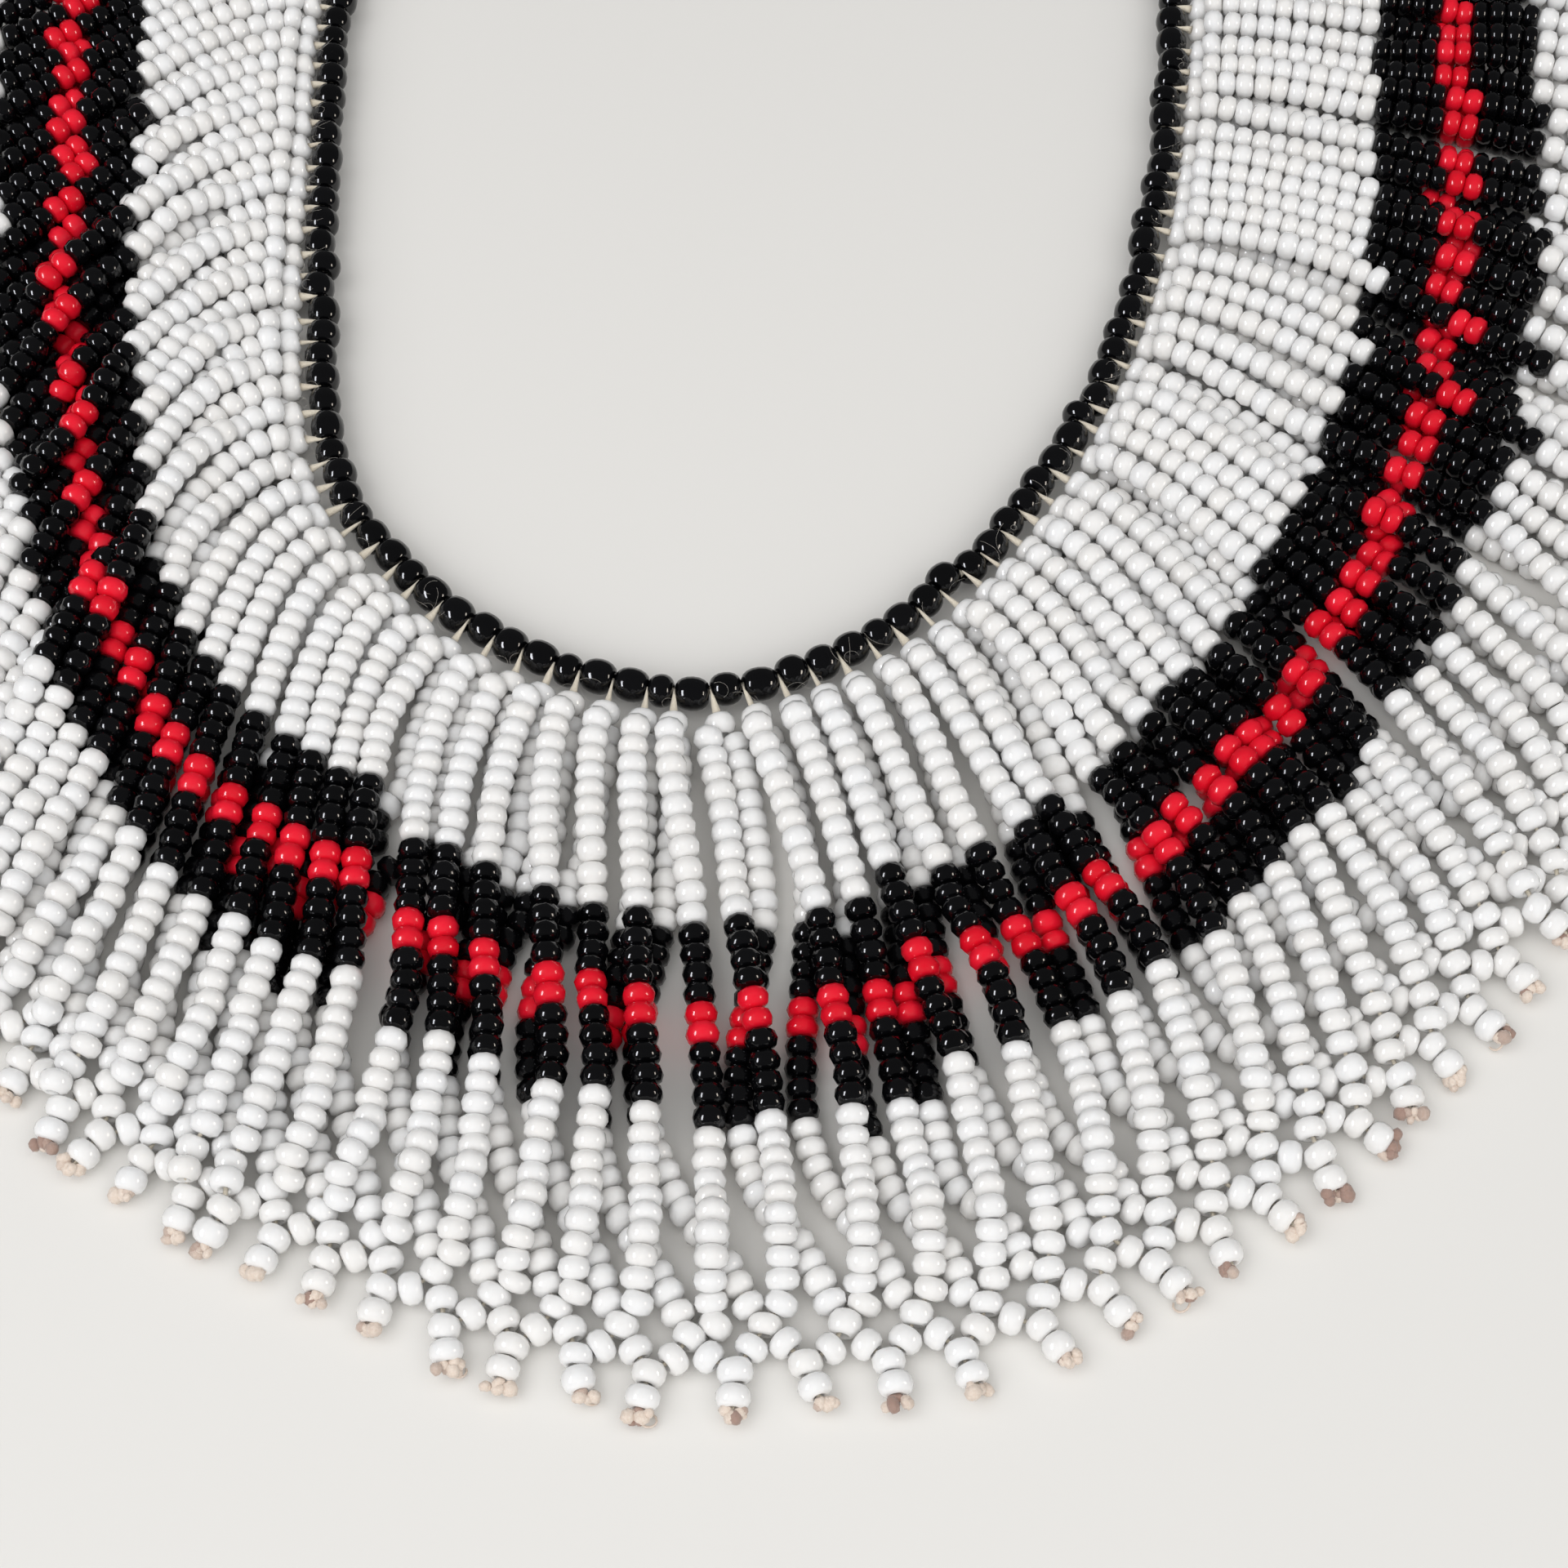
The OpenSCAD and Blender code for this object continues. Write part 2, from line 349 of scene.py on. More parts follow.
def sideways(layer, t):
    share, shift = zip(*layer["rows"])
    ends = np.sin(np.pi * t)
    bunch = layer["bunch"] * bunches(pairs)[:, None] * np.sin(np.pi * t ** 0.8)
    slow = layer["slow"] * wander(pairs, 3)[:, None] * np.sin(2.2 * np.pi * t) * ends
    quick = layer["quick"] * rng.normal(size=(pairs, 1)) * np.sin(1.3 * np.pi * t) * ends
    return np.interp(t, share, shift) + bunch + slow + quick


# Heights that the beads start from, in mm
startHeights = {
    "front": 4.6,
    "oddFront": 0.9,        # more for every other front strand
    "frontEnd": 2.2,        # for a front strand where it meets its link
    "oddBack": 0.25,
    "top": 0.6,             # above the middle of the neck string
    "anchor": 0.7,          # where the thread leaves the neck string, above its middle
}
netLay = {
    "leastFall": 5.5,       # square of the mm from a line between two links to their tail
    "swing": 14,            # degrees that a tail turns aside
}


def layOut():
    # Two layers of strands that spread evenly below the uneven neck beads and gather at the links
    high = startHeights
    places = np.zeros((beadTotal, 3))
    uTop = neckRadius + threadShown + beadStep / 2
    uLink = neckRadius + collar["topGap"] + beadStep * (1.5 + strandBeads)
    paths = strandPaths(anchorS)
    evenPaths = strandPaths(evenS)
    t = uTop / uLink + (1 - uTop / uLink) * np.arange(1, strandBeads + 1) / (strandBeads + 1)
    spread = np.clip(2 * t, 0, 1)[..., None]
    ends = []
    for beads, layer in ((frontBeads, strandLay["front"]), (backBeads, strandLay["back"])):
        lengths = beadLengths[np.column_stack([topBeads, beads])]
        u = uTop + beadStep * np.cumsum((lengths[:, :-1] + lengths[:, 1:]) / 2, axis=1)
        base = alongPaths(paths, u) * (1 - spread) + alongPaths(evenPaths, u) * spread
        toNext = np.gradient(base, axis=0)
        places[beads, :2] = base + toNext * sideways(layer, t)[..., None]
        ends.append(u[:, -1])
    odd = (np.arange(pairs) % 2)[:, None]
    atLink = t ** 6
    above = high["front"] + high["oddFront"] * odd * np.clip(4 * t, 0, 1)
    places[frontBeads, 2] = above * (1 - atLink) + high["frontEnd"] * atLink
    places[backBeads, 2] = restHeight + high["oddBack"] * odd
    places[topBeads, :2] = alongPaths(paths, uTop)[:, 0]
    places[topBeads, 2] = neckHeight + high["top"]
    layNet(places, (np.append(ends[0], ends[1][-1]) + np.append(ends[0][0], ends[1])) / 2)
    places[neckBeads, :2] = neckAt(neckMiddles)
    places[neckBeads, 2] = neckHeight
    return places


def layNet(places, strandEnds):
    # A link joins two strands a bead beyond their ends; two slants carry a tail between two links
    reach = np.convolve(np.pad(strandEnds, 1, "edge"), (0.25, 0.5, 0.25), "valid") + beadStep
    links = alongPaths(strandPaths(linkS), reach[:, None])[:, 0]
    toNext = links[1:] - links[:-1]
    gap = np.linalg.norm(toNext, axis=1, keepdims=True)
    out = np.column_stack([toNext[:, 1], -toNext[:, 0]]) / gap
    fall = np.sqrt(np.maximum((2 * netStep) ** 2 - (gap / 2) ** 2, netLay["leastFall"]))
    tails = (links[1:] + links[:-1]) / 2 + out * fall
    swing = np.radians(rng.normal(0, netLay["swing"], pairs))
    turned = np.column_stack([out[:, 0] * np.cos(swing) - out[:, 1] * np.sin(swing),
                              out[:, 0] * np.sin(swing) + out[:, 1] * np.cos(swing)])
    places[linkBeads, :2] = links
    places[upperTails, :2] = tails
    places[lowerTails, :2] = tails + beadStep * turned
    places[rightSlants, :2] = (links[:-1] + tails) / 2
    places[leftSlants, :2] = (links[1:] + tails) / 2
    places[netBeads, 2] = restHeight


# How the strung beads settle on the table under their weight
settling = {
    "rounds": 170,
    "repeats": 4,           # times that a round puts contacts and threads right
    "search": 6,            # rounds from one search for beads that may touch to the next
    "nearby": 3.3,          # mm between the middles of two beads that may touch
    "contact": 2.78,        # mm between the middles of two beads that touch
    "neckContact": 3.05,
    "calm": 0.55,           # a bead's pushes are divided by this for each bead that it touches
    "weight": 0.022,        # mm that a round adds to a bead's fall
    "drag": 0.86,
    "fastest": 0.25,
    "hold": 0.09,           # share of the way back to its lay that friction pulls a strand each round
    "stiff": 0.985,         # how near two beads with one between them come, of their straight length
    "topRoom": 0.2,         # mm of thread from the neck string to a top bead that don't show
    "bridge": 1.1,          # mm that a front strand stays up between the back strands it crosses
    "bridgeEnd": 4,         # beads over which it comes down to its link
}


def threaded():
    # Pairs of beads that follow each other on a thread, in groups that share no bead, with the
    # distance between their middles
    found = []

    def tie(a, b, step=beadStep):
        found.append((a.ravel(), b.ravel(), step * (beadLengths[a] + beadLengths[b]).ravel() / 2))

    for strand in (frontBeads, backBeads):
        for first in (0, 1):
            tie(strand[:, first:-1:2], strand[:, first + 1::2])
        tie(topBeads, strand[:, 0], collar["topStep"])
    tie(frontBeads[:, -1], linkBeads[:-1], collar["linkStep"])
    tie(backBeads[:, -1], linkBeads[1:], collar["linkStep"])
    for link, slant in ((linkBeads[:-1], rightSlants), (linkBeads[1:], leftSlants)):
        tie(link, slant, netStep)
        tie(slant, upperTails, netStep)
    tie(upperTails, lowerTails, collar["tailStep"])
    return found


def stiffStretches():
    # Beads two places apart, which can't come closer because their ends meet
    found = []
    for strand in (frontBeads, backBeads):
        for first in range(3):
            a = strand[:, :-2][:, first::3]
            b = strand[:, 2:][:, first::3]
            middle = strand[:, 1:-1][:, first::3]
            step = beadStep * (beadLengths[a] / 2 + beadLengths[middle] + beadLengths[b] / 2)
            found.append((a.ravel(), b.ravel(), settling["stiff"] * step.ravel()))
    return found


def threadNeighbours(ties):
    # Beads next to each other on a thread, or with one between them on a strand, which the ties and
    # stiff stretches keep apart
    near = [(a, b) for a, b, step in ties]
    for strand in (frontBeads, backBeads):
        near.append((strand[:, :-2].ravel(), strand[:, 2:].ravel()))
    a = np.concatenate([p[0] for p in near])
    b = np.concatenate([p[1] for p in near])
    return np.unique(np.minimum(a, b) * beadTotal + np.maximum(a, b))


def touchingPairs(places, neighbours):
    # Sorts the beads into cells and pairs those that are near, in one cell or in cells side by side
    radius = settling["nearby"]
    cell = np.floor((places - places.min(0)) / radius).astype(np.int64) + 1
    size = cell.max(0) + 2
    key = cell[:, 0] + size[0] * (cell[:, 1] + size[1] * cell[:, 2])
    order = np.argsort(key, kind="stable")
    key = key[order]
    found = []
    for z in (-1, 0, 1):
        for y in (-1, 0, 1):
            for x in (-1, 0, 1):
                offset = x + size[0] * (y + size[1] * z)
                if offset < 0:
                    continue
                start = np.searchsorted(key, key + offset, "left")
                if offset == 0:
                    start = np.arange(len(key)) + 1
                stop = np.searchsorted(key, key + offset, "right")
                count = np.maximum(stop - start, 0)
                first = np.repeat(np.arange(len(key)), count)
                second = (np.arange(count.sum()) - np.repeat(np.cumsum(count) - count, count)
                          + np.repeat(start, count))
                found.append((order[first], order[second]))
    i = np.concatenate([f[0] for f in found])
    j = np.concatenate([f[1] for f in found])
    a = np.minimum(i, j)
    b = np.maximum(i, j)
    close = np.linalg.norm(places[a] - places[b], axis=1) < radius
    close &= a < looseTotal
    close &= ~np.isin(a * beadTotal + b, neighbours)
    return a[close], b[close]


def settle(places):
    ties = threaded()
    stiff = stiffStretches()
    neighbours = threadNeighbours(ties)
    neckPlaces = places[looseTotal:].copy()
    held = np.concatenate([frontBeads[:, :-2].ravel(), backBeads[:, :-2].ravel(), netBeads])
    plan = places[held, :2].copy()
    topReach = (settling["topRoom"] + neckRadius + threadShown
                + beadStep / 2 * beadLengths[topBeads][:, None])
    lowest = np.full(beadTotal, restHeight)
    ahead = strandBeads - 1 - np.arange(strandBeads)
    lowest[frontBeads] += settling["bridge"] * np.clip((ahead - 1) / settling["bridgeEnd"], 0, 1)
    speed = np.zeros_like(places)
    for turn in range(settling["rounds"]):
        if turn % settling["search"] == 0:
            a, b = touchingPairs(places, neighbours)
            reach = np.where(b >= looseTotal, settling["neckContact"], settling["contact"])
            shareA = np.where(b >= looseTotal, 1.0, 0.5)[:, None]
        speed *= settling["drag"]
        speed[:, 2] -= settling["weight"]
        pace = np.linalg.norm(speed, axis=1, keepdims=True)
        speed *= np.minimum(1, settling["fastest"] / np.maximum(pace, 1e-9))
        old = places.copy()
        places = places + speed
        places[held, :2] += settling["hold"] * (plan - places[held, :2])
        for repeat in range(settling["repeats"]):
            apart = places[a] - places[b]
            gap = np.linalg.norm(apart, axis=1) + 1e-9
            hit = gap < reach
            push = apart[hit] * ((reach - gap) / gap)[hit, None]
            hitA, hitB = a[hit], b[hit]
            crowd = np.bincount(hitA, minlength=beadTotal) + np.bincount(hitB, minlength=beadTotal)
            calm = 1 / np.maximum(1, settling["calm"] * crowd)
            for axis in range(3):
                pushA = push[:, axis] * shareA[hit, 0]
                pushB = push[:, axis] - pushA
                places[:, axis] += calm * (np.bincount(hitA, pushA, beadTotal)
                                           - np.bincount(hitB, pushB, beadTotal))
            for i, j, step in stiff:
                along = places[j] - places[i]
                length = np.linalg.norm(along, axis=1) + 1e-9
                move = along * (0.5 * np.maximum(step - length, 0) / length)[:, None]
                places[i] -= move
                places[j] += move
            for i, j, step in ties:
                along = places[j] - places[i]
                length = np.linalg.norm(along, axis=1) + 1e-9
                move = along * (0.5 * (length - step) / length)[:, None]
                places[i] += move
                places[j] -= move
            toTop = places[topBeads] - anchorPlaces
            length = np.linalg.norm(toTop, axis=1, keepdims=True)
            places[topBeads] -= toTop * (length - topReach) / length
            places[:, 2] = np.maximum(places[:, 2], lowest)
            places[looseTotal:] = neckPlaces
        speed = places - old
    return places


print("laying out", beadTotal, "beads")
anchorPlaces = np.column_stack([neckAt(anchorS),
                                np.full(pairs, neckHeight + startHeights["anchor"])])
places = settle(layOut())
print("settled, highest bead middle at", round(float(places[:, 2].max()), 2), "mm")


def unit(v):
    return v / np.maximum(np.linalg.norm(v, axis=-1, keepdims=True), 1e-9)


headingShares = {
    "topDrop": 0.6,         # mm by which a top bead's hole turns down
    "linkBack": 0.3,        # pull of the back strand on a link bead, against the front strand
    "linkSlants": 0.35,
    "uneven": 0.06,
}


def beadHeadings():
    # The way each bead's hole points: from the bead before it to the bead after it
    shares = headingShares
    headings = np.zeros_like(places)
    for strand, links in ((frontBeads, linkBeads[:-1]), (backBeads, linkBeads[1:])):
        chain = np.concatenate([topBeads[:, None], strand, links[:, None]], 1)
        headings[strand] = places[chain[:, 2:]] - places[chain[:, :-2]]
    firstTwo = (places[frontBeads[:, 0]] + places[backBeads[:, 0]]) / 2
    headings[topBeads] = firstTwo - anchorPlaces - (0, 0, shares["topDrop"])
    fromFront = np.vstack([places[linkBeads[:-1]] - places[frontBeads[:, -1]], np.zeros(3)])
    fromBack = np.vstack([np.zeros(3), places[linkBeads[1:]] - places[backBeads[:, -1]]])
    toSlants = np.vstack([places[rightSlants] - places[linkBeads[:-1]], np.zeros(3)])
    toSlants[1:] += places[leftSlants] - places[linkBeads[1:]]
    headings[linkBeads] = (fromFront + shares["linkBack"] * fromBack
                           + shares["linkSlants"] * toSlants)
    headings[rightSlants] = places[upperTails] - places[linkBeads[:-1]]
    headings[leftSlants] = places[upperTails] - places[linkBeads[1:]]
    slantMiddle = (places[rightSlants] + places[leftSlants]) / 2
    headings[upperTails] = places[lowerTails] - slantMiddle
    headings[lowerTails] = places[lowerTails] - places[upperTails]
    headings[neckBeads, :2] = neckTangent(neckMiddles)
    return unit(unit(headings) + rng.normal(0, shares["uneven"], headings.shape))


headings = beadHeadings()


# One group of Geometry Nodes puts a shape on every point, turned and sized by the point
def makeStringing():
    tree = bpy.data.node_groups.new("stringing", "GeometryNodeTree")
    tree.interface.new_socket("Geometry", in_out="INPUT", socket_type="NodeSocketGeometry")
    tree.interface.new_socket("Shape", in_out="INPUT", socket_type="NodeSocketObject")
    tree.interface.new_socket("Geometry", in_out="OUTPUT", socket_type="NodeSocketGeometry")
    given = addNode(tree, "NodeGroupInput")
    shape = addNode(tree, "GeometryNodeObjectInfo", {"Object": given.outputs["Shape"]})
    turn = addNode(tree, "GeometryNodeInputNamedAttribute", {"Name": "turn"}, data_type="QUATERNION")
    size = addNode(tree, "GeometryNodeInputNamedAttribute", {"Name": "size"},
                   data_type="FLOAT_VECTOR")
    placed = addNode(tree, "GeometryNodeInstanceOnPoints", {
        "Points": given.outputs["Geometry"],
        "Instance": shape.outputs["Geometry"],
        "Rotation": turn.outputs["Attribute"],
        "Scale": size.outputs["Attribute"],
    })
    real = addNode(tree, "GeometryNodeRealizeInstances", {"Geometry": placed.outputs["Instances"]})
    addNode(tree, "NodeGroupOutput", {"Geometry": real.outputs["Geometry"]})
    return tree


stringing = makeStringing()


def finishedMesh(obj, name):
    # Applies what is live on an object and gives its mesh a plain object of its own
    depsgraph = bpy.context.evaluated_depsgraph_get()
    mesh = bpy.data.meshes.new_from_object(obj.evaluated_get(depsgraph))
    mesh.name = name
    bpy.data.objects.remove(obj)
    return newObject(name, mesh)


triangleTotal = 0


def dress(piece, material, slot, *nodes):
    # Gives a piece its finish, puts it on the root body and hides the CAD nodes that it stands for
    global triangleTotal
    piece.data.materials.clear()
    piece.data.materials.append(material)
    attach(piece, "root")
    if nodes:
        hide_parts(*nodes)
    triangles = sum(len(p.vertices) - 2 for p in piece.data.polygons)
    triangleTotal += triangles
    print(f"  {piece.name}: {triangles} triangles")
    return piece


def turns(directions):
    # Quaternions that point a shape's Z along each direction, after a random spin about Z
    spin = rng.uniform(0, math.pi, len(directions))
    align = np.column_stack([1 + directions[:, 2], -directions[:, 1], directions[:, 0]])
    align[directions[:, 2] < -0.999] = (0, 1, 0)
    align /= np.linalg.norm(align, axis=1, keepdims=True)
    w, x, y = align.T
    c, s = np.cos(spin), np.sin(spin)
    return np.column_stack([w * c, x * c + y * s, y * c - x * s, w * s])


def stringShapes(name, shape, middles, directions, sizes, tones):
    mesh = bpy.data.meshes.new(name + "Points")
    mesh.vertices.add(len(middles))
    mesh.vertices.foreach_set("co", (middles * mm).astype(np.float32).ravel())
    for label, kind, key, values in (("turn", "QUATERNION", "value", turns(directions)),
                                     ("size", "FLOAT_VECTOR", "vector", sizes),
                                     ("tone", "FLOAT", "value", tones)):
        attribute = mesh.attributes.new(label, kind, "POINT")
        attribute.data.foreach_set(key, np.asarray(values, np.float32).ravel())
    points = newObject(name + "Points", mesh)
    modifier = points.modifiers.new("stringing", "NODES")
    modifier.node_group = stringing
    modifier["Socket_1"] = shape
    piece = finishedMesh(points, name)
    for label in ("turn", "size"):
        if label in piece.data.attributes:
            piece.data.attributes.remove(piece.data.attributes[label])
    return piece


def faceOrder(face):
    # A number for each face, because the operators leave the faces in another order at each run
    first, second, third = sorted(v.index for v in face.verts)[:3]
    return (first * 1000 + second) * 1000 + third


def storeShape(bm, name):
    bmesh.ops.recalc_face_normals(bm, faces=bm.faces[:])
    for face in bm.faces:
        face.smooth = True
    bm.verts.index_update()
    bm.faces.sort(key=faceOrder)
    mesh = bpy.data.meshes.new(name)
    bm.to_mesh(mesh)
    bm.free()
    return bpy.data.objects.new(name, mesh)


# Bead shapes, with their hole along Z. The seed beads of a strand hide their holes and have none.
# A roundness under 1 makes a bead's section a little squarer.
beadShapes = {
    "seed": {"radius": 1.45, "half": 0.99, "edge": 0.5, "roundness": 0.87, "around": 10, "bands": 4},
    "drilled": {"radius": 1.45, "half": 0.99, "edge": 0.5, "roundness": 0.87, "around": 12,
                "bands": 5, "hole": 0.45},
    "neck": {"radius": 1.65, "half": 1.42, "edge": 0.55, "roundness": 0.95, "around": 16,
             "bands": 8, "hole": 0.5},
}
rimAngle = 78               # degrees from a bead's waist to the rim of its flat end
holeSunk = 0.94             # where a hole's wall starts, of the height of the rim


def spinBead(kind):
    bead = beadShapes[kind]
    bm = bmesh.new()
    profile = []
    for angle in np.linspace(-rimAngle, rimAngle, bead["bands"] + 1):
        across = math.cos(math.radians(angle)) ** bead["roundness"]
        height = math.copysign(abs(math.sin(math.radians(angle))) ** bead["roundness"], angle)
        r = bead["edge"] + (bead["radius"] - bead["edge"]) * across
        profile.append(bm.verts.new((r * mm, 0, height * bead["half"] * mm)))
    if "hole" in bead:
        wall = profile[-1].co.z * holeSunk
        profile.append(bm.verts.new((bead["hole"] * mm, 0, wall)))
        profile.append(bm.verts.new((bead["hole"] * mm, 0, -wall)))
    edges = [bm.edges.new(pair) for pair in zip(profile, profile[1:])]
    if "hole" in bead:
        edges.append(bm.edges.new((profile[-1], profile[0])))
    bmesh.ops.spin(bm, geom=profile + edges, cent=(0, 0, 0), axis=(0, 0, 1), angle=2 * math.pi,
                   steps=bead["around"], use_merge=True, use_duplicate=False)
    if "hole" not in bead:
        bmesh.ops.holes_fill(bm, edges=bm.edges[:], sides=0)
    return storeShape(bm, kind + "Bead")


seedShape = spinBead("seed")
drilledShape = spinBead("drilled")
neckShape = spinBead("neck")


# White seed beads are opaque pressed-and-rolled glass: milky, a little light goes in, and the
# fire polish leaves a soft bright highlight. Some beads are cooler, some ivory.
def milkGlass(name, cool, warm, deep):
    material, tree = newMaterial(name)
    place = addNode(tree, "ShaderNodeTexCoord").outputs["Object"]
    tone = addNode(tree, "ShaderNodeAttribute", attribute_name="tone").outputs["Fac"]
    cloud = addNode(tree, "ShaderNodeTexNoise", {
        "Vector": place,
        "Scale": 1 / (1.6 * mm),        # clouds in the glass about 1.6 mm wide
        "Detail": 3.0,
    })
    beadColour = addNode(tree, "ShaderNodeMix", {
        0: tone, 6: toLinear(cool), 7: toLinear(warm)}, data_type="RGBA")
    shade = addNode(tree, "ShaderNodeMapRange", {
        "Value": cloud.outputs["Fac"], "From Min": 0.35, "From Max": 0.75, "To Max": 0.35})
    colour = addNode(tree, "ShaderNodeMix", {
        0: shade.outputs["Result"], 6: beadColour.outputs[2], 7: toLinear(deep)}, data_type="RGBA")
    rough = addNode(tree, "ShaderNodeMapRange", {
        "Value": cloud.outputs["Fac"], "From Min": 0.3, "From Max": 0.8,
        "To Min": 0.12, "To Max": 0.22})
    ripple = addNode(tree, "ShaderNodeTexNoise", {
        "Vector": place,
        "Scale": 1 / (0.9 * mm),        # the rolled skin's shallow waves, about 0.9 mm
        "Detail": 2.0,
    })
    bump = addNode(tree, "ShaderNodeBump", {
        "Height": ripple.outputs["Fac"], "Strength": 0.35, "Distance": 0.06 * mm})
    shader = addNode(tree, "ShaderNodeBsdfPrincipled", {
        "Base Color": colour.outputs[2],
        "Roughness": rough.outputs["Result"],
        "Normal": bump.outputs["Normal"],
        "IOR": 1.52,
        "Subsurface Weight": 0.18,
        "Subsurface Radius": (0.9, 0.85, 0.8),
        "Subsurface Scale": 0.7 * mm,
        "Coat Weight": 0.25,
        "Coat Roughness": 0.1,
    })
    addNode(tree, "ShaderNodeOutputMaterial", {"Surface": shader.outputs["BSDF"]})
    return material


# Black and red beads are opaque glass with a full fire polish: deep colour and small sharp lights
def gemGlass(name, dark, light, roughLow, roughHigh, wave):
    material, tree = newMaterial(name)
    place = addNode(tree, "ShaderNodeTexCoord").outputs["Object"]
    tone = addNode(tree, "ShaderNodeAttribute", attribute_name="tone").outputs["Fac"]
    colour = addNode(tree, "ShaderNodeMix", {
        0: tone, 6: toLinear(dark), 7: toLinear(light)}, data_type="RGBA")
    skin = addNode(tree, "ShaderNodeTexNoise", {
        "Vector": place,
        "Scale": 1 / (wave * mm),
        "Detail": 3.0,
    })
    rough = addNode(tree, "ShaderNodeMapRange", {
        "Value": skin.outputs["Fac"], "From Min": 0.35, "From Max": 0.75,
        "To Min": roughLow, "To Max": roughHigh})
    bump = addNode(tree, "ShaderNodeBump", {
        "Height": skin.outputs["Fac"], "Strength": 0.3, "Distance": 0.05 * mm})
    shader = addNode(tree, "ShaderNodeBsdfPrincipled", {
        "Base Color": colour.outputs[2],
        "Roughness": rough.outputs["Result"],
        "Normal": bump.outputs["Normal"],
        "IOR": 1.52,
    })
    addNode(tree, "ShaderNodeOutputMaterial", {"Surface": shader.outputs["BSDF"]})
    return material


# Twisted cotton thread, undyed cream: matte, two plies, a little fuzz in the sheen
def twistedCotton(name, cream, shadow, burnt):
    material, tree = newMaterial(name)
    place = addNode(tree, "ShaderNodeTexCoord").outputs["Object"]
    tone = addNode(tree, "ShaderNodeAttribute", attribute_name="tone").outputs["Fac"]
    fibre = addNode(tree, "ShaderNodeTexNoise", {
        "Vector": place,
        "Scale": 1 / (0.25 * mm),       # fibre bundles, drawn 0.25 mm wide to show
        "Detail": 4.0,
        "Roughness": 0.65,
    })
    weave = addNode(tree, "ShaderNodeMix", {
        0: fibre.outputs["Fac"], 6: toLinear(shadow), 7: toLinear(cream)}, data_type="RGBA")
    singe = addNode(tree, "ShaderNodeMapRange", {
        "Value": tone, "From Min": 0.45, "From Max": 1.0})
    colour = addNode(tree, "ShaderNodeMix", {
        0: singe.outputs["Result"], 6: weave.outputs[2], 7: toLinear(burnt)}, data_type="RGBA")
    bump = addNode(tree, "ShaderNodeBump", {
        "Height": fibre.outputs["Fac"], "Strength": 0.8, "Distance": 0.12 * mm})
    shader = addNode(tree, "ShaderNodeBsdfPrincipled", {
        "Base Color": colour.outputs[2],
        "Roughness": 0.85,
        "Normal": bump.outputs["Normal"],
        "Sheen Weight": 0.3,
        "Sheen Roughness": 0.5,
    })
    addNode(tree, "ShaderNodeOutputMaterial", {"Surface": shader.outputs["BSDF"]})
    return material


# Turned brass, polished by hand and lightly tarnished
def turnedBrass(name, polished, tarnished):
    material, tree = newMaterial(name)
    place = addNode(tree, "ShaderNodeTexCoord").outputs["Object"]
    tarnish = addNode(tree, "ShaderNodeTexNoise", {
        "Vector": place,
        "Scale": 1 / (2.5 * mm),        # tarnish in patches about 2.5 mm wide
        "Detail": 4.0,
    })
    colour = addNode(tree, "ShaderNodeMix", {
        0: tarnish.outputs["Fac"], 6: toLinear(polished), 7: toLinear(tarnished)},
        data_type="RGBA")
    rough = addNode(tree, "ShaderNodeMapRange", {
        "Value": tarnish.outputs["Fac"], "To Min": 0.18, "To Max": 0.42})
    shader = addNode(tree, "ShaderNodeBsdfPrincipled", {
        "Base Color": colour.outputs[2],
        "Metallic": 1.0,
        "Roughness": rough.outputs["Result"],
    })
    addNode(tree, "ShaderNodeOutputMaterial", {"Surface": shader.outputs["BSDF"]})
    return material


whiteGlass = milkGlass("whiteGlass", "#ececec", "#ebe9e6", "#e1dfdd")
blackGlass = gemGlass("blackGlass", "#040405", "#08080a", 0.07, 0.16, 1.2)
blackNeckGlass = gemGlass("blackNeckGlass", "#040405", "#08080a", 0.05, 0.13, 1.5)
redGlass = gemGlass("redGlass", "#d60f24", "#ea1c32", 0.12, 0.22, 1.2)
threadCotton = twistedCotton("threadCotton", "#e9e1d1", "#c8bca6", "#b9966f")
knotCotton = twistedCotton("knotCotton", "#f0e6db", "#c8b09c", "#7c5042")
fuzzCotton = twistedCotton("fuzzCotton", "#f0ebe2", "#d8cfc2", "#cbb79a")
claspBrass = turnedBrass("claspBrass", "#d8b56a", "#9c7638")

# Beads of the strands, by colour. Columns: piece, first bead, beads, material, slot, node.
strandColours = (
    ("InnerWhites", 0, 10, whiteGlass, "white_glass", "inner_white_band"),
    ("UpperBlacks", 10, 4, blackGlass, "black_glass", "upper_black_band"),
    ("Reds", 14, 2, redGlass, "red_glass", "red_band"),
    ("LowerBlacks", 16, 4, blackGlass, "black_glass", "lower_black_band"),
    ("OuterWhites", 20, 5, whiteGlass, "white_glass", "outer_white_band"),
    ("NetWhites", 25, 5, whiteGlass, "white_glass", "net_edge"),
)
miscount = 0.08             # share of strands that start their black one bead early, and late


def beadSizes(beads):
    across = unevenBy("across", len(beads))
    return np.column_stack([across, across * rng.uniform(*uneven["oval"], len(beads)),
                            beadLengths[beads] * rng.uniform(*uneven["ends"], len(beads))])


def stringStrands(prefix, strand):
    late = rng.choice([-1, 1, 0], pairs, p=[miscount, miscount, 1 - 2 * miscount])
    place = np.arange(strandBeads)[None, :] - late[:, None]
    for label, first, count, material, slot, node in strandColours:
        low = -math.inf if first == 0 else first
        high = math.inf if label == "NetWhites" else first + count
        mine = strand[(place >= low) & (place < high)]
        piece = stringShapes(prefix + label, seedShape, places[mine], headings[mine],
                             beadSizes(mine), rng.uniform(0, 1, len(mine)))
        dress(piece, material, slot, node)


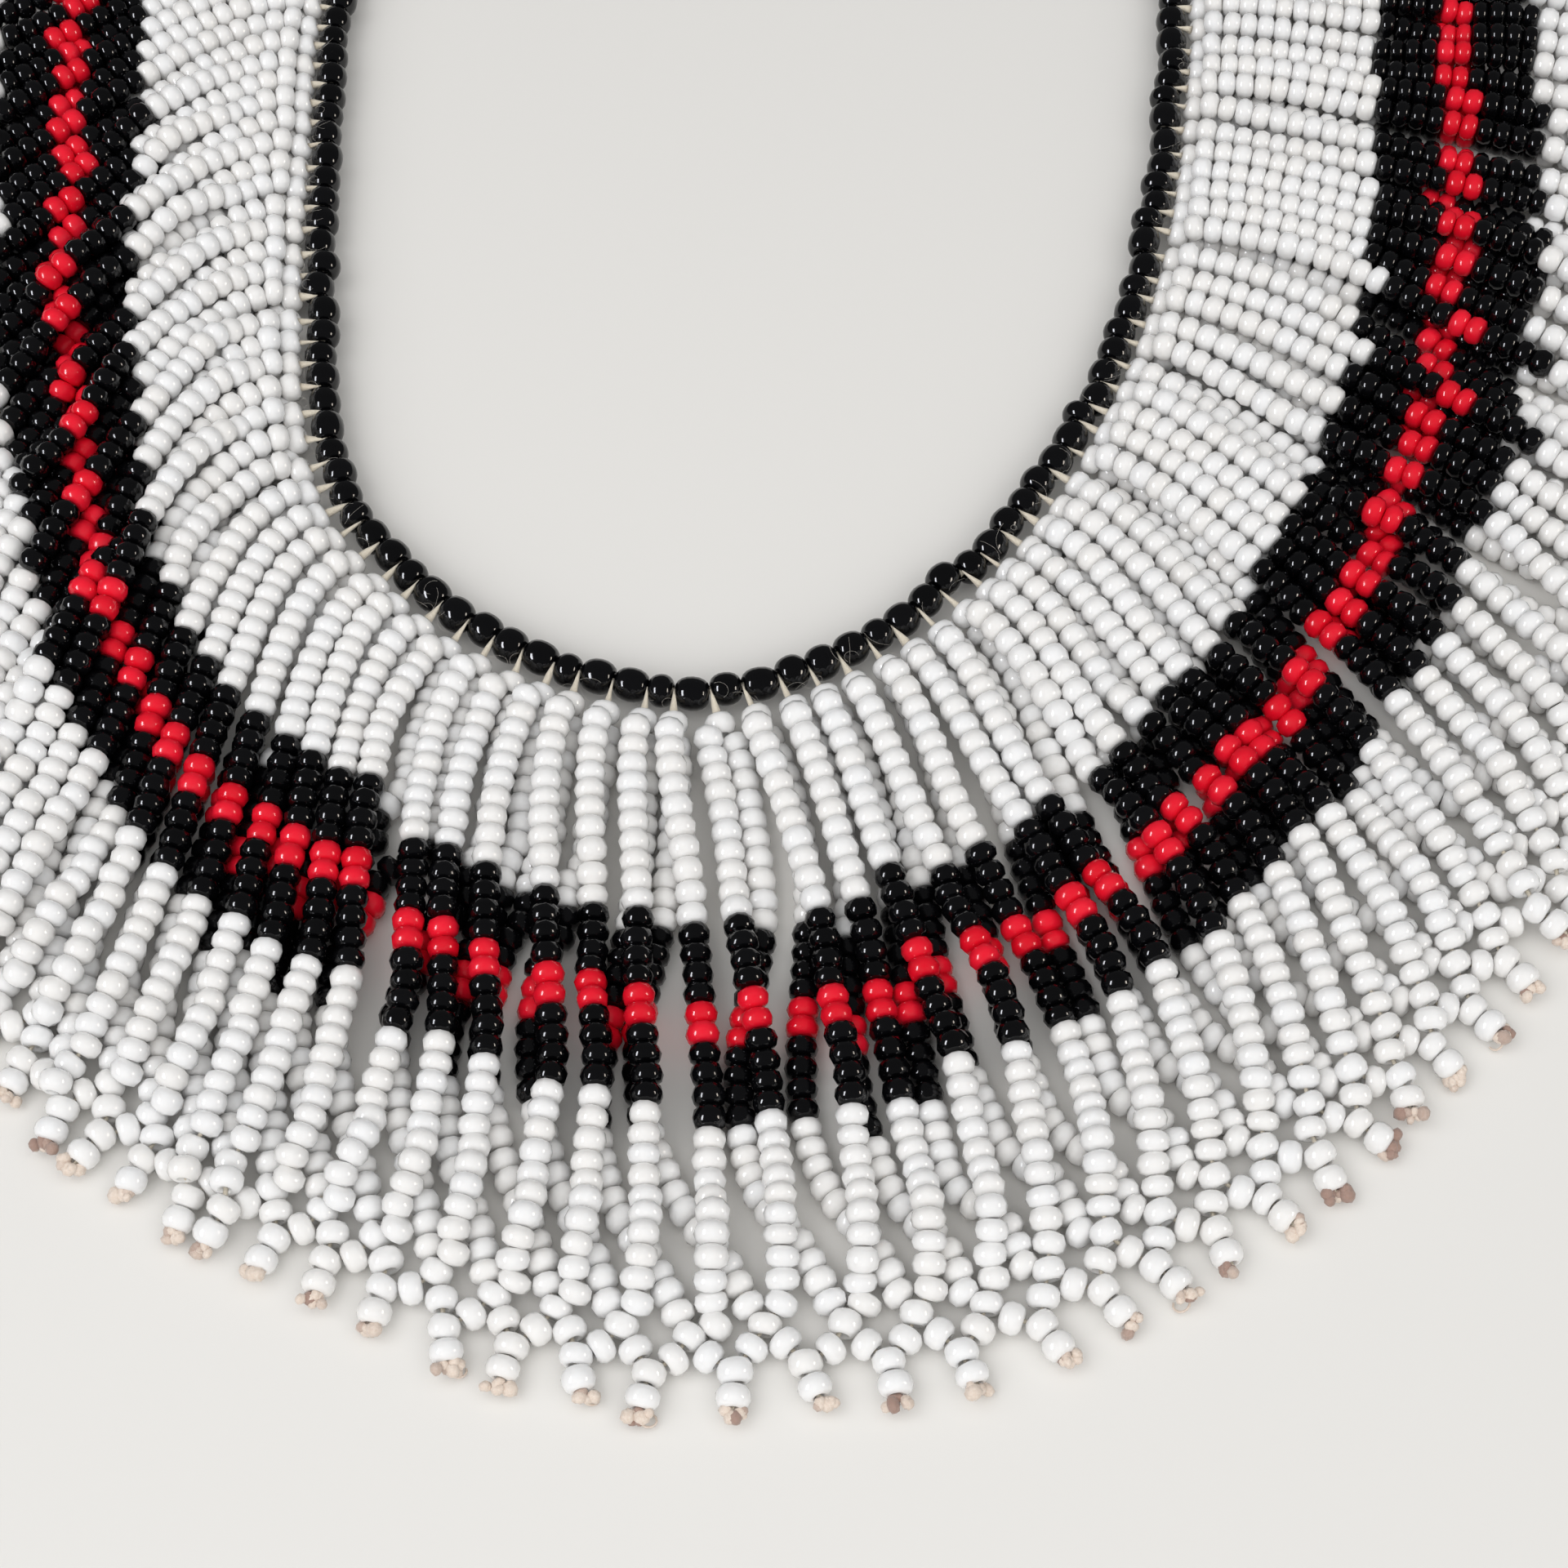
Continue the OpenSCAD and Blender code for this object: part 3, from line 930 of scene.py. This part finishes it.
print("stringing the strands")
stringStrands("front", frontBeads)
stringStrands("back", backBeads)

dress(stringShapes("topBeads", drilledShape, places[topBeads], headings[topBeads],
                   beadSizes(topBeads), rng.uniform(0, 1, pairs)),
      whiteGlass, "white_glass", "inner_white_band")
dress(stringShapes("netBeads", drilledShape, places[netBeads], headings[netBeads],
                   beadSizes(netBeads), rng.uniform(0, 1, len(netBeads))),
      whiteGlass, "white_glass", "net_edge")


def stringNeck():
    count = pairs + 1
    tangent = headings[neckBeads]
    aside = np.column_stack([-tangent[:, 1], tangent[:, 0], np.zeros(count)])
    middles = places[neckBeads] + aside * rng.normal(0, neckString["zigzag"], count)[:, None]
    middles[:, 2] += rng.normal(0, neckString["lift"], count)
    across = np.clip(rng.normal(1.0, neckString["acrossSpread"], count),
                     neckString["narrowest"], neckString["widest"])
    bead = beadShapes["neck"]
    half = bead["half"] * math.sin(math.radians(rimAngle)) ** bead["roundness"]
    sizes = np.column_stack([across, across, (neckLengths - neckString["room"]) / 2 / half])
    return stringShapes("neckBeads", neckShape, middles, tangent, sizes, rng.uniform(0, 1, count))


dress(stringNeck(), blackNeckGlass, "black_neck_glass", "neck_beads")

# Threads: a tapered cone at each top bead, the net's threads, knots, loose ends and hairs, in mm
threadWork = {
    "spikeTip": 0.2,        # mm from where the thread goes round the neck string
    "spikeBase": 0.75,      # mm from the middle of the top bead
    "spikeRadius": 0.46,
    "spikeSpread": (0.8, 1.15),
    "spikeFlat": (0.8, 1),
    "spikeTaper": 0.22,     # of the radius that is left at the tip
    "plyTwist": 2.4,        # radians that the two plies turn over the length
    "plyDepth": 0.14,
    "netThread": 0.2,       # radius
    "pastTail": 1.3,        # mm from the middle of the last bead to the end of the net's thread
}
knots = {
    "out": 1.35,            # mm from the middle of the last bead
    "lumps": (6, 9),        # at least, and one more than at most
    "radius": (0.38, 0.62),
    "across": (-1.05, 1.05),
    "along": (-0.3, 0.45),
    "tilt": 0.3,
    "highest": 2.0,
    "lowest": 0.9,          # of a lump's radius, above the table
    "lift": 0.15,
    "flat": (0.8, 1.25),
    "dents": 0.08,
    "tone": (0.3, 0.35),    # mean and spread
    "burnt": 0.6,           # tone that a wholly burnt knot has more
    "darkest": 0.85,
}
looseEnds = {
    "share": 0.16,          # of the knots that leave a loose end
    "radius": 0.11,
    "out": 1.4,             # mm from the middle of the last bead
    "turn": (2.2, 4.5),     # radians of the loop
    "size": (0.5, 0.9),
    "oval": 0.9,
    "heights": (1.0, 0.2),  # where it leaves the knot, and at its end
    "points": 9,
}
hairs = {
    "count": 2.0,           # for each gap, on average
    "radius": 0.006,
    "nearTop": 0.6,         # where they start, of the way from the neck string to the top bead
    "spread": 0.45,         # mm round that start
    "lift": 1.0,
    "steps": 10,
    "step": 0.26,
    "curl": 0.35,           # radians that a hair turns at each step
    "wave": 0.08,
    "rise": (0.05, 0.3),    # mean and spread
}


def coneShape():
    bm = bmesh.new()
    bmesh.ops.create_cone(bm, cap_ends=True, segments=7, radius1=mm,
                          radius2=threadWork["spikeTaper"] * mm, depth=mm)
    sides = [e for e in bm.edges if abs(e.verts[0].co.z - e.verts[1].co.z) > 0.5 * mm]
    bmesh.ops.subdivide_edges(bm, edges=sides, cuts=3)
    for v in bm.verts:
        twist = threadWork["plyTwist"] * v.co.z / mm
        ply = math.cos(2 * (math.atan2(v.co.y, v.co.x) + twist))
        plies = 1 + threadWork["plyDepth"] * ply
        v.co = Vector((v.co.x * plies, v.co.y * plies, v.co.z))
    return storeShape(bm, "threadCone")


def stringSpikes():
    toTop = unit(places[topBeads] - anchorPlaces)
    reach = np.linalg.norm(places[topBeads] - anchorPlaces, axis=1, keepdims=True)
    length = reach - threadWork["spikeBase"] - threadWork["spikeTip"]
    middles = anchorPlaces + toTop * (threadWork["spikeTip"] + length / 2)
    radius = threadWork["spikeRadius"] * rng.uniform(*threadWork["spikeSpread"], (pairs, 1))
    sizes = np.hstack([radius, radius * rng.uniform(*threadWork["spikeFlat"], (pairs, 1)), length])
    return stringShapes("threadSpikes", coneShape(), middles, -toTop, sizes,
                        rng.uniform(0, 0.5, pairs))


def threadCurves(name, lines, radius):
    data = bpy.data.curves.new(name, "CURVE")
    data.dimensions = "3D"
    data.bevel_depth = radius * mm
    data.bevel_resolution = 0
    data.use_fill_caps = True
    for line in lines:
        spline = data.splines.new("POLY")
        spline.points.add(len(line) - 1)
        flat = np.column_stack([line * mm, np.ones(len(line))]).astype(np.float32)
        spline.points.foreach_set("co", flat.ravel())
    return finishedMesh(newObject(name + "Curve", data), name)


def netThreadLines():
    lines = []
    for k in range(pairs):
        end = places[lowerTails[k]] + threadWork["pastTail"] * headings[lowerTails[k]]
        for strand, link, slant in ((frontBeads, linkBeads[k], rightSlants[k]),
                                    (backBeads, linkBeads[k + 1], leftSlants[k])):
            beads = [strand[k, -2], strand[k, -1], link, slant, upperTails[k], lowerTails[k]]
            lines.append(np.vstack([places[beads], end]))
    return lines


def knotShape():
    bm = bmesh.new()
    bmesh.ops.create_uvsphere(bm, u_segments=8, v_segments=5, radius=mm)
    for v in bm.verts:
        p = v.co / mm
        v.co *= 1 + knots["dents"] * math.sin(5 * p.x + 2 * p.y) * math.cos(4 * p.z - p.y)
    return storeShape(bm, "knotLump")


def stringKnots():
    # Each knot is a few lumps of thread in a row across the tail's end, some of them burnt
    middles = []
    directions = []
    sizes = []
    tones = []
    for k in range(pairs):
        heading = headings[lowerTails[k]]
        across = unit(np.array([-heading[1], heading[0], rng.normal(0, knots["tilt"])]))
        end = places[lowerTails[k]] + heading * knots["out"]
        burnt = rng.uniform(0, 1) ** 3
        for lump in range(int(rng.integers(*knots["lumps"]))):
            radius = rng.uniform(*knots["radius"])
            spot = (end + across * rng.uniform(*knots["across"])
                    + heading * rng.uniform(*knots["along"]))
            height = min(spot[2], knots["highest"]) + rng.normal(0, knots["lift"])
            spot[2] = max(knots["lowest"] * radius, height)
            middles.append(spot)
            directions.append(unit(rng.normal(size=3)))
            sizes.append(radius * rng.uniform(*knots["flat"], 3))
            tone = knots["burnt"] * burnt + rng.normal(*knots["tone"])
            tones.append(np.clip(tone, 0, knots["darkest"]))
    return stringShapes("threadKnots", knotShape(), np.array(middles), np.array(directions),
                        np.array(sizes), np.array(tones))


def looseEndLines():
    # A loop of thread that curls out of a knot and back over the table
    lines = []
    points = looseEnds["points"]
    for k in np.nonzero(rng.uniform(size=pairs) < looseEnds["share"])[0]:
        heading = headings[lowerTails[k]] * (1, 1, 0)
        across = np.array([-heading[1], heading[0], 0]) * rng.choice([-1, 1])
        end = places[lowerTails[k]] + heading * looseEnds["out"]
        turn = np.linspace(0, rng.uniform(*looseEnds["turn"]), points)[:, None]
        size = rng.uniform(*looseEnds["size"])
        line = end + size * (across * (1 - np.cos(turn)) + heading * np.sin(turn) * looseEnds["oval"])
        line[:, 2] = np.linspace(*looseEnds["heights"], points)
        lines.append(line)
    return lines


def hairLines():
    lines = []
    for k in range(pairs):
        for hair in range(rng.poisson(hairs["count"])):
            start = ((1 - hairs["nearTop"]) * anchorPlaces[k] + hairs["nearTop"] * places[topBeads[k]]
                     + rng.normal(0, hairs["spread"], 3))
            start[2] += hairs["lift"]
            heading = rng.uniform(0, 2 * math.pi)
            curl = rng.normal(0, hairs["curl"])
            rise = rng.normal(*hairs["rise"])
            line = [start]
            for step in range(hairs["steps"]):
                heading += curl + rng.normal(0, hairs["wave"])
                way = np.array([math.cos(heading), math.sin(heading), rise])
                line.append(line[-1] + hairs["step"] * way)
            lines.append(np.array(line))
    return lines


print("adding threads, knots and hairs")
dress(stringSpikes(), threadCotton, "cotton_thread", "inner_white_band")
dress(threadCurves("netThreads", netThreadLines(), threadWork["netThread"]),
      threadCotton, "cotton_thread", "net_edge")
dress(stringKnots(), knotCotton, "cotton_thread", "net_edge")
dress(threadCurves("looseEnds", looseEndLines(), looseEnds["radius"]), knotCotton, "cotton_thread")
dress(threadCurves("threadHairs", hairLines(), hairs["radius"]), fuzzCotton, "cotton_thread")
for node, material in (("neck_thread", threadCotton), ("clasp", claspBrass)):
    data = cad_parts[node].data
    data.materials.clear()
    data.materials.append(material)
print("triangles in all:", triangleTotal)

# The plain studio: a pale floor, an even pale surround, soft panels that light it and two windows
# that the beads mirror
studio = {
    "floor": "#e2e0dc",
    "surround": "#e9eaeb",
    "surroundLight": 0.24,
    "surroundMirrored": 0.11,
    "middle": (0.0, -0.03, 0.0),
    "distance": 0.9,
}
# Columns: name, direction to it, the way its long side runs, width, length, watts, colour
lamps = (
    ("leftWindow", (-0.73, -0.38, 0.57), (0, 0.83, 0.55), 0.15, 0.5, 4.8, "#f6f8ff"),
    ("rightWindow", (0.87, -0.28, 0.42), (0, 0.83, 0.55), 0.13, 0.3, 1.6, "#fff4e6"),
    ("leftPanel", (-0.65, -0.3, 0.7), (0, 1, 0), 0.9, 0.9, 3.4, "#fdfdff"),
    ("rightPanel", (0.8, -0.35, 0.5), (0, 1, 0), 0.9, 0.9, 1.7, "#fffefd"),
    ("frontPanel", (0.0, -0.85, 0.5), (1, 0, 0), 0.9, 0.9, 1.6, "#ffffff"),
    ("softPanel", (0.0, -0.4, 0.92), (0, 1, 0), 1.8, 1.8, 8.8, "#ffffff"),
)


def matteFloor():
    material, tree = newMaterial("matteFloor")
    shader = addNode(tree, "ShaderNodeBsdfPrincipled", {
        "Base Color": toLinear(studio["floor"]), "Roughness": 0.75, "Specular IOR Level": 0.2})
    addNode(tree, "ShaderNodeOutputMaterial", {"Surface": shader.outputs["BSDF"]})
    return material


def layFloor():
    bm = bmesh.new()
    bmesh.ops.create_grid(bm, x_segments=1, y_segments=1, size=3.0)
    mesh = bpy.data.meshes.new("floor")
    bm.to_mesh(mesh)
    bm.free()
    mesh.materials.append(matteFloor())
    newObject("floor", mesh)


def hangLamp(name, direction, long, width, length, watts, colour):
    data = bpy.data.lights.new(name, "AREA")
    data.shape = "RECTANGLE"
    data.size = width
    data.size_y = length
    data.energy = watts
    data.color = toLinear(colour)[:3]
    lamp = newObject(name, data)
    toLamp = Vector(direction).normalized()
    side = Vector(long).cross(toLamp).normalized()
    lamp.location = Vector(studio["middle"]) + toLamp * studio["distance"]
    lamp.rotation_euler = Matrix((side, toLamp.cross(side), toLamp)).transposed().to_euler()
    lamp.visible_glossy = name.endswith("Window")
    lamp.visible_diffuse = not lamp.visible_glossy


def setStudio():
    layFloor()
    world = bpy.data.worlds.new("surround")
    bpy.context.scene.world = world
    world.use_nodes = True
    background = world.node_tree.nodes["Background"]
    background.inputs["Color"].default_value = toLinear(studio["surround"])
    rays = addNode(world.node_tree, "ShaderNodeLightPath")
    strength = addNode(world.node_tree, "ShaderNodeMapRange", {
        "Value": rays.outputs["Is Glossy Ray"],
        "To Min": studio["surroundLight"], "To Max": studio["surroundMirrored"]})
    world.node_tree.links.new(strength.outputs["Result"], background.inputs["Strength"])
    for lamp in lamps:
        hangLamp(*lamp)
    bpy.context.scene.view_settings.view_transform = "Standard"


setStudio()
print("studio set")
